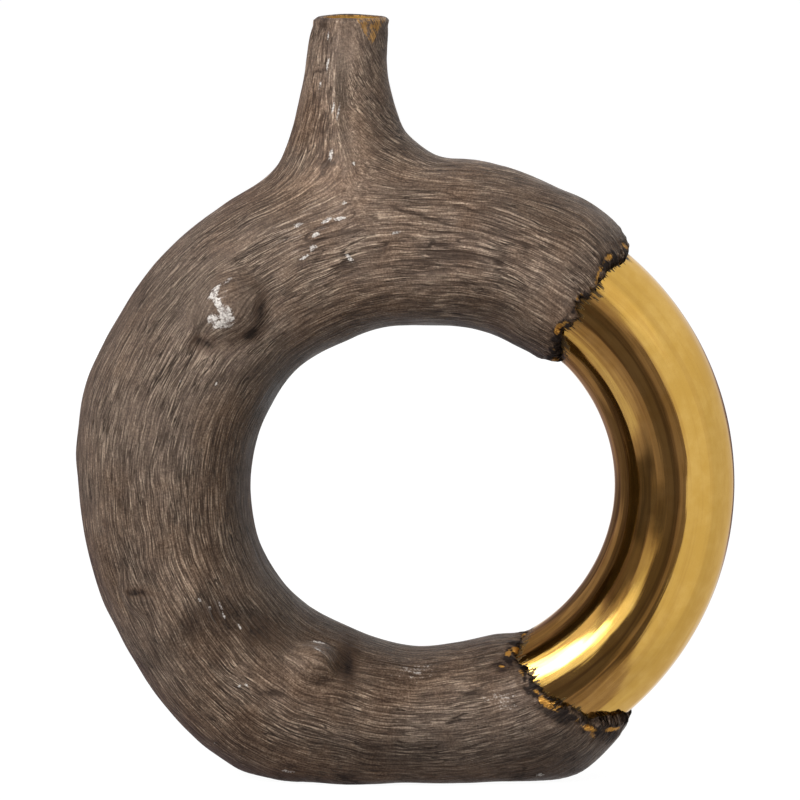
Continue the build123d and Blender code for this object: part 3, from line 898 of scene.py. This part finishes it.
class Finish:
    """The nodes of a new material, or of the world if it is given."""

    def __init__(self, name, world=None):
        self.owner = world or bpy.data.materials.new(name)
        self.owner.use_nodes = True
        self.tree = self.owner.node_tree
        self.tree.nodes.clear()

    def node(self, kind, settings=None, sockets=None, output=0):
        """Adds a node: its settings first, a ramp's stops among them, then links and values."""
        made = self.tree.nodes.new(kind)
        for key, value in (settings or {}).items():
            if key == "stops":
                elements = made.color_ramp.elements
                for _ in range(len(value) - len(elements)):
                    elements.new(1.0)
                for element, (position, color) in zip(elements, value):
                    element.position = position
                    element.color = (*color, 1)
            else:
                setattr(made, key, value)
        for key, value in (sockets or {}).items():
            if isinstance(value, Number):
                self.tree.links.new(value.socket, made.inputs[key])
            else:
                made.inputs[key].default_value = value
        return Number(self, made.outputs[output]) if made.outputs else made

    def painted(self, name, output="Fac"):
        """One of the mesh's named attributes."""
        return self.node("ShaderNodeAttribute", {"attribute_name": name}, output=output)

    def noise(self, sockets, **settings):
        """A noise texture's value, which lies about 0.5."""
        return self.node("ShaderNodeTexNoise", settings, sockets)

    def step(self, value, low, high):
        """0 below low, 1 above high and a soft step between."""
        return self.node(
            "ShaderNodeMapRange", {"interpolation_type": "SMOOTHSTEP"},
            {"Value": value, "From Min": low, "From Max": high},
        )

    def blend(self, share, one, other):
        """A colour between two."""
        return self.node(
            "ShaderNodeMix", {"data_type": "RGBA"}, {0: share, 6: one, 7: other}, output=2
        )

    def bump(self, height):
        """A normal from a height in millimetres."""
        return self.node("ShaderNodeBump", {}, {"Height": height, "Distance": MM})

    def surface(self, sockets):
        """Ends the material with one Principled shader that holds these sockets."""
        shader = self.node("ShaderNodeBsdfPrincipled", {}, sockets)
        self.node("ShaderNodeOutputMaterial", {}, {"Surface": shader})
        print("material", self.owner.name, "with", len(self.tree.nodes), "nodes")
        return self.owner


# %% [markdown]
# ## Painted wood grain
#
# The clay was stained nearly black, and a paler brown was dragged over it with a dry brush, so it
# caught on the ridges and missed the grooves. The material does the same: the sculpted relief and
# a finer noise along the same grain choose between dark and tan, and the fine noise is a bump too.
# The palest tan on the highest ridges and the lit edges beside scratches and cracks are partly
# painted highlights. Scratches, cracks and cuts are laid over it in near black, then burns with
# painted shade round the knots, in the hollows and towards the table, pale chips with painted
# highlights, and stray gold.

# %% Wood grain material
BROWNS = [
    (0.0, (0.044, 0.026, 0.017)), (0.32, (0.116, 0.073, 0.048)), (0.50, (0.196, 0.130, 0.088)),
    (0.68, (0.285, 0.197, 0.136)), (1.0, (0.60, 0.45, 0.325)),
]
GREY_CLAY = (0.152, 0.126, 0.112, 1)
PALE_RIDGE_AND_HIGHLIGHT = (0.56, 0.43, 0.31, 1)
IN_SCRATCH, IN_CUT = (0.036, 0.023, 0.016, 1), (0.034, 0.022, 0.016, 1)
IN_CRACK = (0.020, 0.013, 0.010, 1)
SINGED, BURNT_AND_SHADED = (0.120, 0.066, 0.038, 1), (0.013, 0.009, 0.008, 1)
GREY_CHIP_AND_HIGHLIGHT, PALE_CHIP_AND_HIGHLIGHT = (0.34, 0.29, 0.26, 1), (0.86, 0.80, 0.74, 1)
BRUSHED_GOLD = (0.52, 0.265, 0.055, 1)


def wood_grain():
    """The painted clay's material."""
    finish = Finish("painted_grain")
    flow = finish.painted("flow", "Vector")
    grain = finish.painted("grain")
    relief = finish.painted("relief")
    place = finish.node("ShaderNodeTexCoord", {}, output="Object")

    def lines(spacing, detail, shorter=1.25):
        """Noise along the grain, whose scale shortens the strokes and leaves their spacing."""
        return finish.noise(
            {"Vector": flow, "W": grain * (1 / spacing / shorter), "Scale": shorter,
             "Detail": detail, "Roughness": 0.55},
            noise_dimensions="4D",
        )

    def thin(spacing, width, shorter):
        """A thin line where a noise crosses its middle value, and the lit edge beside it."""
        past = lines(spacing, 0.6, shorter) - 0.5
        line = 1 - finish.step(abs(past), 0.25 * width, width)
        beside = finish.step(past, 0.5 * width, width)
        return line, beside * (1 - finish.step(past, width, 2 * width))

    fine = 0.6 * lines(0.75, 1.0) + 0.4 * lines(0.36, 0.6)
    patches = finish.noise({"Vector": place, "Scale": 60.0, "Detail": 4.0, "Roughness": 0.62})
    small_patches = finish.noise({"Vector": place, "Scale": 330.0, "Detail": 2.0, "Roughness": 0.6})
    wide_patches = finish.noise({"Vector": place, "Scale": 16.0, "Detail": 3.0})
    specks = finish.noise({"Vector": place, "Scale": 1300.0, "Detail": 1.0})
    combed = 1 - 0.75 * finish.painted("smooth")
    scratch, scratch_painted_highlight = thin(0.68, 0.11, 1.25)
    crack, crack_painted_highlight = thin(1.9, 0.045, 0.8)
    scratched = finish.step(patches, 0.26, 0.56) * combed
    cracked = finish.step(0.5 * small_patches + patches, 0.68, 0.92) * combed
    scratch = scratch * scratched
    crack = crack * cracked

    # The lit edges beside scratches and cracks add painted highlights to the browns.
    caught = (
        0.50 + 2.0 * (fine - 0.5) * combed + 0.15 * relief + 0.75 * (patches - 0.5)
        + 0.7 * (wide_patches - 0.5) + 0.45 * (small_patches - 0.5) + 0.8 * (specks - 0.5)
        + 0.14 * scratch_painted_highlight * scratched + 0.26 * crack_painted_highlight * cracked
    )
    brown = finish.node("ShaderNodeValToRGB", {"stops": BROWNS}, {"Fac": caught})
    grey = finish.step(wide_patches + 0.5 * patches, 0.62, 0.95)
    toned = finish.blend(grey * 0.42, brown, GREY_CLAY)
    # Palest tan on the highest ridges: dry-brushed paint, and partly a painted highlight.
    ridge_paint_and_highlight = finish.step(relief + 1.6 * (fine - 0.5), 0.75, 1.9)
    toned = finish.blend(ridge_paint_and_highlight * 0.45, toned, PALE_RIDGE_AND_HIGHLIGHT)
    toned = finish.blend(scratch * 0.66, toned, IN_SCRATCH)
    toned = finish.blend(crack * 0.80, toned, IN_CRACK)
    cut = finish.step(finish.painted("cut") + 0.7 * (fine - 0.5), 0.32, 0.72)
    toned = finish.blend(cut * 0.66, toned, IN_CUT)
    # Tone scales the colour: uneven paint with painted shade and painted light in it.
    toned = finish.node(
        "ShaderNodeVectorMath", {"operation": "SCALE"}, {0: toned, "Scale": finish.painted("tone")}
    )

    # Burns in the seams with a singed rim, and painted shade round the knots, in the hollows and
    # towards the table.
    burn_and_shade_shape = (
        finish.painted("burn") + 0.8 * (patches - 0.5) + 0.5 * (small_patches - 0.5)
        + 0.9 * (fine - 0.5)
    )
    singed = finish.blend(finish.step(burn_and_shade_shape, 0.12, 0.46) * 0.30, toned, SINGED)
    burn = finish.step(burn_and_shade_shape, 0.34, 0.80)
    burnt_and_shaded = finish.blend(burn * 0.92, singed, BURNT_AND_SHADED)

    # Pale chips near the table, and painted highlights on the knots, ridges and wrinkles.
    chip_and_glint_shape = (
        finish.painted("glint") + (fine - 0.5) + 0.5 * (small_patches - 0.5)
        + 0.6 * (specks - 0.5)
    )
    glint = finish.step(chip_and_glint_shape, 0.40, 0.72)
    chip_and_highlight_colour = finish.blend(finish.step(specks + small_patches, 0.80, 1.20), GREY_CHIP_AND_HIGHLIGHT, PALE_CHIP_AND_HIGHLIGHT)
    with_chips_and_highlights = finish.blend(glint * 0.95, burnt_and_shaded, chip_and_highlight_colour)

    gilt_shape = (
        finish.painted("gilt") + 0.9 * (small_patches - 0.5) + 1.1 * (fine - 0.5)
        + 0.6 * (patches - 0.5)
    )
    gilt = finish.step(gilt_shape, 0.60, 0.68) * finish.step(finish.painted("gilt"), 0.40, 0.80)
    gilded = finish.blend(gilt, with_chips_and_highlights, BRUSHED_GOLD)

    height = 0.30 * fine + 0.10 * small_patches + 0.05 * specks - 0.12 * scratch - 0.34 * crack
    return finish.surface({
        "Base Color": gilded,
        "Metallic": gilt * 0.85,
        "Roughness": 0.46 - 0.28 * glint - 0.16 * gilt + 0.20 * burn + 0.35 * (patches - 0.5),
        "Specular IOR Level": 0.12,
        "Coat Weight": finish.painted("gloss") * finish.step(fine, 0.52, 0.62),
        "Coat Roughness": 0.20,
        "Normal": finish.bump(height),
    })


wood_material = wood_grain()
for piece in skins:
    piece.data.materials.append(wood_material)

# %% [markdown]
# ## Gold
#
# The gold is a thin metal film, so it is fully metallic with a low roughness. Real film is never
# even: it is deeper in some clouds and brighter in others, dulled by faint mottling, and stained
# where it meets the burnt clay. The long brown streaks on the side that faces the hole are partly a
# thinner film and partly painted reflection of the dark room. Inside the mouth it is worn, so there
# it is rougher and only about half a metal.

# %% Gold materials
DEEP_FILM, BRIGHT_FILM = (0.58, 0.345, 0.075, 1), (0.66, 0.415, 0.110, 1)
THIN_FILM_AND_REFLECTION, STAINED = (0.27, 0.115, 0.030, 1), (0.030, 0.017, 0.010, 1)


def gold(name, roughness, wear, metal):
    """A gold film. Wear is how far the mottling moves its roughness up and down."""
    finish = Finish(name)
    place = finish.node("ShaderNodeTexCoord", {}, output="Object")
    tube = finish.painted("tube", "Vector")

    def drawn(along, round_it, detail=2.0):
        """Noise with a size of its own along the tube and round it, in cells per millimetre."""
        cells = (along, round_it, round_it)
        stretched = finish.node(
            "ShaderNodeVectorMath", {"operation": "MULTIPLY"}, {0: tube, 1: cells}
        )
        return finish.noise({"Vector": stretched, "Scale": 1.0, "Detail": detail})

    clouds = finish.noise({"Vector": place, "Scale": 26.0, "Detail": 3.0, "Roughness": 0.55})
    mottle = finish.noise({"Vector": place, "Scale": 210.0, "Detail": 3.0, "Roughness": 0.6})
    streaks = drawn(0.010, 0.28, 4.0)
    spikes = drawn(0.22, 0.9)
    film = finish.step(clouds + 0.5 * (mottle - 0.5), 0.3, 0.7)
    base = finish.blend(film, DEEP_FILM, BRIGHT_FILM)
    # Brown streaks on the side that faces the hole: partly thinner film, partly painted reflection
    # of the dark room.
    thin_film_and_reflection = finish.step(streaks, 0.46, 0.62) * finish.painted("inner_half")
    streaked_with_reflection = finish.blend(thin_film_and_reflection * 0.65, base, THIN_FILM_AND_REFLECTION)
    stain_shape = finish.painted("stain") + 1.5 * (spikes - 0.5) + 0.6 * (mottle - 0.5)
    stain = finish.step(stain_shape, 0.60, 0.74)
    stained = finish.blend(stain * 0.9, streaked_with_reflection, STAINED)
    return finish.surface({
        "Base Color": stained,
        "Metallic": metal - 0.8 * stain,
        "Roughness": roughness + wear * (mottle - 0.5) + 0.4 * stain,
        "Specular Tint": (0.95, 0.85, 0.70, 1),
        "Normal": finish.bump(0.035 * clouds + 0.006 * mottle + 0.10 * streaks),
    })


gold_arc.data.materials.append(gold("gold_film", 0.095, 0.07, 1.0))
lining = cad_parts["mouth_lining"]
lining.data.materials.clear()
lining.data.materials.append(gold("worn_gold_film", 0.24, 0.3, 0.45))

# %% [markdown]
# ## Camera
#
# The picture was taken from far away with a long lens, a little above the middle of the vase. The
# distance only has to be large enough that near and far parts keep their size.

# %% Camera
CAMERA_DISTANCE, CAMERA_ELEVATION = 4.0, math.radians(6.0)
SENSOR, LENS = 36.0, 444.0
target = Vector((-0.0025, 0, 0.1541))
camera_data = bpy.data.cameras.new("camera")
camera_data.sensor_width = SENSOR
camera_data.lens = LENS
camera_data.clip_start, camera_data.clip_end = 0.1, 60.0
camera = bpy.data.objects.new("camera", camera_data)
bpy.context.scene.collection.objects.link(camera)
back = Vector((0, -math.cos(CAMERA_ELEVATION), math.sin(CAMERA_ELEVATION)))
camera.location = target + back * CAMERA_DISTANCE
camera.rotation_euler = (-back).to_track_quat("-Z", "Y").to_euler()
bpy.context.scene.camera = camera
seen_width = CAMERA_DISTANCE * SENSOR / LENS / MM
print("camera at", [round(value, 3) for value in camera.location], "sees", round(seen_width), "mm")

# %% [markdown]
# ## Studio
#
# The picture was taken on white paper under soft lamps at the upper left. White comes from the
# floor and the world as the camera, mirrors and glass see them, and never from stronger lamps.

# %% Floor
FLOOR_RADIUS, FLOOR_SIDES, FLOOR_Z = 9.0, 96, -0.0002
FLOOR_GREY, PAPER_WHITE, PAPER_SHARE = (0.55, 0.55, 0.55, 1), 1.275, 0.76


def seen_directly(finish):
    """1 for rays from the camera, mirrors and glass, and 0 for all others."""
    path = finish.tree.nodes.new("ShaderNodeLightPath")
    camera_ray = Number(finish, path.outputs["Is Camera Ray"])
    seen = camera_ray + Number(finish, path.outputs["Is Glossy Ray"])
    return seen + Number(finish, path.outputs["Is Transmission Ray"])


def studio_floor():
    """Grey matt paper for the light that falls on it, and mostly even white for what sees it."""
    finish = Finish("studio_floor")
    white = finish.node("ShaderNodeEmission", {}, {"Color": (1, 1, 1, 1), "Strength": PAPER_WHITE})
    matt = finish.node("ShaderNodeBsdfDiffuse", {}, {"Color": FLOOR_GREY})
    share = seen_directly(finish) * PAPER_SHARE
    mixed = finish.node("ShaderNodeMixShader", {}, {0: share, 1: matt, 2: white})
    finish.node("ShaderNodeOutputMaterial", {}, {"Surface": mixed})
    return finish.owner


floor_mesh = bpy.data.meshes.new("floor")
edge = np.radians(np.arange(FLOOR_SIDES) * 360 / FLOOR_SIDES)
across, away = FLOOR_RADIUS * np.cos(edge), FLOOR_RADIUS * np.sin(edge)
floor_points = np.stack([across, away, np.full(FLOOR_SIDES, FLOOR_Z)], axis=-1)
floor_mesh.from_pydata(floor_points.tolist(), [], [list(range(FLOOR_SIDES))])
floor = bpy.data.objects.new("floor", floor_mesh)
bpy.context.scene.collection.objects.link(floor)
floor.data.materials.append(studio_floor())
print("floor of radius", FLOOR_RADIUS, "m")

# %% World
WORLD_LIGHT = 0.36
world = bpy.data.worlds.new("studio")
bpy.context.scene.world = world
sky = Finish("studio", world)
level = sky.node(
    "ShaderNodeMapRange", {}, {"Value": seen_directly(sky), "To Min": WORLD_LIGHT, "To Max": 1.0}
)
glow = sky.node("ShaderNodeBackground", {}, {"Strength": level})
sky.node("ShaderNodeOutputWorld", {}, {"Surface": glow})
print("world light", WORLD_LIGHT, "and white where it is seen")

# %% [markdown]
# ## The room that the gold mirrors
#
# Gold has hardly a look of its own: it shows the room. Read off the arc, the real room had white
# paper on the right, a large softbox high on the left, a dark gap behind the left side, a dark
# room around the camera and a dim table in front. Cards on stands would cut each other's
# reflections, so the whole room is one large ball, and only mirror rays see it. Its brightness is
# a function of direction, laid over white paper panel by panel. A panel has a left and a right
# azimuth, a low and a high elevation, the width of its soft edge, all in degrees, and a brightness.

# %% A ball round the set, for mirror rays alone
ROOM_RADIUS, ROOM_MIDDLE = 2500.0, [0, 0, 120.0]
PANELS = [
    (-170, -118, -90, 90, 4, 0.32), (-161, -146, -6, 17, 5, 0.16), (-140, -122, -24, -6, 8, 0.14),
    (-108, -24, -90, -18, 4, 0.32), (-90, -50, -90, -26, 8, 0.66), (-95, -70, 0, 16, 6, 0.12),
    (-103, -52, -13, 4, 5, 0.10), (-50, -28, 6, 12, 8, 0.60), (-97, -54, 10, 26, 5, 0.20),
    (-40, -28, -16, -9, 4, 0.30), (-8, 24, 16, 60, 6, 0.32), (10, 26, -12, 12, 4, 0.20),
    (13, 17, -40, 20, 2, 0.42), (100, 145, -60, 0, 25, 0.84), (158, 171, -8, -1, 6, 0.15),
    (14, 27, 13, 32, 4, 0.52), (38, 58, 24, 60, 8, 1.18),
]
DARK_GAP = (-123, -118, -90, 90, 2.5, 0.13)
DARK_ROOM, TABLE_GLOW = 0.13, 0.34
SOFTBOX_EDGE, SOFTBOX, SOFTBOX_CORE = 0.75, 1.5, 12.0
SOFTBOX_NOTCH = 0.5
STRIPES, STRIPE_WIDTH, STRIPE_HEIGHT = 0.38, 3.2, 30.0


def panel(azimuth, elevation, left, right, low, high, edge):
    """1 inside a range of directions in degrees, with soft edges outside it."""
    across = soft_step(azimuth, left - edge, left) * (1 - soft_step(azimuth, right, right + edge))
    upright = soft_step(elevation, low - edge, low) * (1 - soft_step(elevation, high, high + edge))
    return across * upright


def room_light(azimuth, elevation):
    """Brightness by direction: 0 azimuth is the camera's side, positive is to its right."""
    light = 1.0 - 0.28 * soft_step(-elevation, 26, 52)
    paper_edge = 26.6 + 0.034 * np.maximum(-elevation - 14, 0) ** 2
    paper_edge = paper_edge + 0.25 * np.maximum(elevation - 10, 0)
    dark = soft_step(azimuth, -172, -166) * (1 - soft_step(azimuth - paper_edge, -1.0, 1.0))
    table_glow = soft_step(azimuth, 8, 30) * soft_step(-elevation, 22, 32)
    light = light + (DARK_ROOM + TABLE_GLOW * table_glow - light) * dark
    for *place, brightness in PANELS:
        light = light + (brightness - light) * panel(azimuth, elevation, *place)
    where = np.stack([azimuth / STRIPE_WIDTH, elevation / STRIPE_HEIGHT], axis=-1)
    light = light * (1 + STRIPES * value_noise(where, 91) * dark)
    box_foot = 29 - 27 * soft_step(azimuth, -63, -25)
    box = panel(azimuth, elevation, -108, -20, -90, 80, 3.0)
    box = box * soft_step(elevation - box_foot, -3, 3)
    box_level = SOFTBOX_EDGE + (SOFTBOX - SOFTBOX_EDGE) * soft_step(elevation - box_foot, 0, 7)
    light = light + (box_level - light) * box
    light = light + (SOFTBOX_NOTCH - light) * panel(azimuth, elevation, -58, -49, 19, 30, 4.0)
    core = panel(azimuth, elevation, -58, -32, 23, 58, 8.0)
    core = core * soft_step(elevation + azimuth, -22, -12)
    light = light + (SOFTBOX_CORE - light) * core
    *gap, darkness = DARK_GAP
    return light + (darkness - light) * panel(azimuth, elevation, *gap)


room_azimuth, room_elevation = np.meshgrid(np.arange(-180.0, 180.0), np.arange(-89.0, 90.0))
reach = np.cos(np.radians(room_elevation))
room_points = ROOM_RADIUS * np.stack([
    reach * np.sin(np.radians(room_azimuth)),
    -reach * np.cos(np.radians(room_azimuth)),
    np.sin(np.radians(room_elevation)),
], axis=-1) + ROOM_MIDDLE
room_ids = np.arange(room_azimuth.size).reshape(room_azimuth.shape)
room = make_piece(
    "mirror_room", room_points.reshape(-1, 3), grid_faces(room_ids).reshape(-1, 4),
    [room_ids[0], room_ids[-1][::-1]], {"light": room_light(room_azimuth, room_elevation).ravel()},
)
room_finish = Finish("mirror_room_light")
room_level = room_finish.painted("light")
room_share = room_finish.step(room_level, 0.3, 0.9)
room_tint = room_finish.blend(room_share, (1.0, 0.83, 1.0, 1), (1, 1, 1, 1))
room_glow = room_finish.node(
    "ShaderNodeEmission", {}, {"Color": room_tint, "Strength": room_level}
)
room_finish.node("ShaderNodeOutputMaterial", {}, {"Surface": room_glow})
room.data.materials.append(room_finish.owner)
room.visible_camera = room.visible_diffuse = room.visible_shadow = False
floor.visible_glossy = False


# %% Lamps
LIT_PLACE = Vector((0, 0, 0.15))


def lamp(name, direction, distance, size, radiance):
    """A square softbox that faces the vase. Its power is pi times radiance times its area. The
    ball already holds its mirror image."""
    data = bpy.data.lights.new(name, "AREA")
    data.shape = "SQUARE"
    data.size = size
    data.energy = math.pi * radiance * size * size
    made = bpy.data.objects.new(name, data)
    bpy.context.scene.collection.objects.link(made)
    towards = Vector(direction).normalized()
    made.location = LIT_PLACE + towards * distance
    made.rotation_euler = towards.to_track_quat("Z", "Y").to_euler()
    made.visible_camera = made.visible_glossy = False
    print(name, "lamp of", round(data.energy, 2), "W")


lamp("key", (-0.40, -0.80, 0.44), 0.8, 0.32, 3.6)
lamp("soft_fill", (-0.50, -0.70, 0.50), 2.0, 1.3, 4.4)
lamp("back_fill", (0.35, 0.85, 0.40), 2.0, 1.3, 1.6)

# %% View settings
bpy.context.scene.view_settings.view_transform = "Standard"
